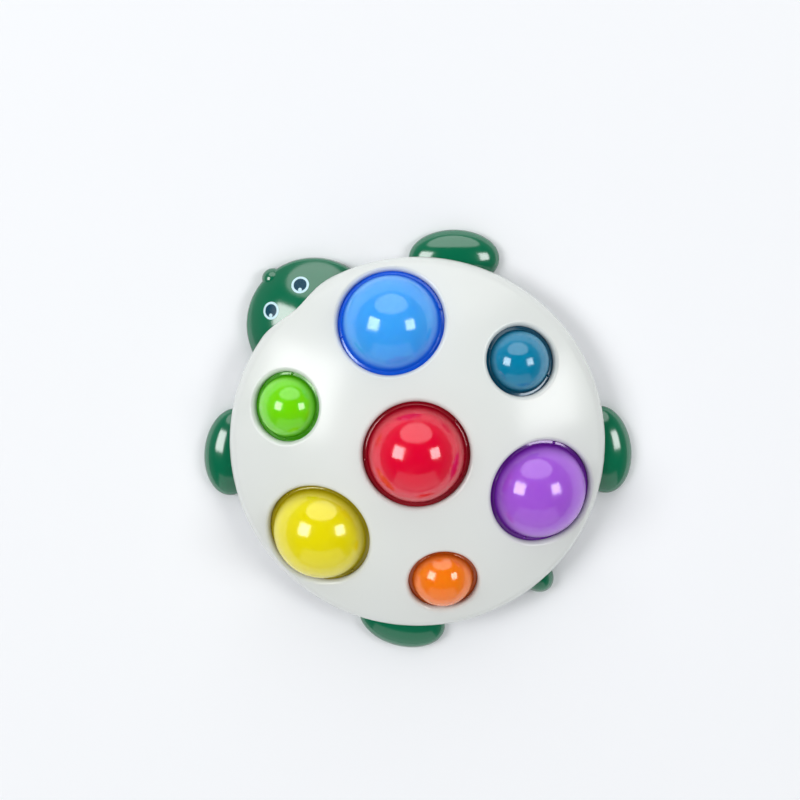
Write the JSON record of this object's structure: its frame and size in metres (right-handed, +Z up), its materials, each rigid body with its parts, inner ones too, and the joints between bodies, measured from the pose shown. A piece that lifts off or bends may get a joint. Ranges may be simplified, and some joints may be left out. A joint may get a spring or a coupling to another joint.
{
  "type": "bubble pop fidget toy",
  "caption": "Turtle-shaped pop board for small children: soft silicone bubbles in a domed shell push in and out; head, flippers and tail are clipped under its rim.",
  "frame": {"origin": "on the table, at the centre of the foot ring, under the top of the dome", "axes": "+Z up out of the shell, +Y towards the head, +X to the turtle's right"},
  "size_m": [0.15, 0.1732, 0.0465],
  "materials": {
    "white_plastic": "gloss",
    "inner_plastic": "satin",
    "screw_steel": "satin",
    "green_plastic": "gloss",
    "red_silicone": "gloss",
    "blue_silicone": "gloss",
    "teal_silicone": "gloss",
    "purple_silicone": "gloss",
    "orange_silicone": "gloss",
    "yellow_silicone": "gloss",
    "green_silicone": "gloss"
  },
  "bodies": {
    "body": {"outer_shell": "white_plastic", "inner_shell": "inner_plastic", "shell_screws": "screw_steel", "red_bubble_skirt": "red_silicone", "blue_bubble_skirt": "blue_silicone", "teal_bubble_skirt": "teal_silicone", "purple_bubble_skirt": "purple_silicone", "orange_bubble_skirt": "orange_silicone", "yellow_bubble_skirt": "yellow_silicone", "green_bubble_skirt": "green_silicone", "head": "green_plastic", "front_left_flipper": "green_plastic", "front_right_flipper": "green_plastic", "hind_left_flipper": "green_plastic", "hind_right_flipper": "green_plastic", "tail": "green_plastic"},
    "red_bubble": {"red_bubble_crown": "red_silicone"},
    "blue_bubble": {"blue_bubble_crown": "blue_silicone"},
    "teal_bubble": {"teal_bubble_crown": "teal_silicone"},
    "purple_bubble": {"purple_bubble_crown": "purple_silicone"},
    "orange_bubble": {"orange_bubble_crown": "orange_silicone"},
    "yellow_bubble": {"yellow_bubble_crown": "yellow_silicone"},
    "green_bubble": {"green_bubble_crown": "green_silicone"}
  },
  "joints": [
    {"name": "red_bubble_pop", "type": "slide", "parent": "body", "child": "red_bubble", "axis": [0, 0, -1], "range_m": [0, 0.025]},
    {"name": "blue_bubble_pop", "type": "slide", "parent": "body", "child": "blue_bubble", "axis": [-0.1758, -0.3045, -0.9361], "range_m": [0, 0.025]},
    {"name": "teal_bubble_pop", "type": "slide", "parent": "body", "child": "teal_bubble", "axis": [-0.365, 0, -0.931], "range_m": [0, 0.017]},
    {"name": "purple_bubble_pop", "type": "slide", "parent": "body", "child": "purple_bubble", "axis": [-0.1758, 0.3045, -0.9361], "range_m": [0, 0.025]},
    {"name": "orange_bubble_pop", "type": "slide", "parent": "body", "child": "orange_bubble", "axis": [0.1825, 0.3161, -0.931], "range_m": [0, 0.017]},
    {"name": "yellow_bubble_pop", "type": "slide", "parent": "body", "child": "yellow_bubble", "axis": [0.3516, 0, -0.9361], "range_m": [0, 0.025]},
    {"name": "green_bubble_pop", "type": "slide", "parent": "body", "child": "green_bubble", "axis": [0.1825, -0.3161, -0.931], "range_m": [0, 0.017]}
  ]
}
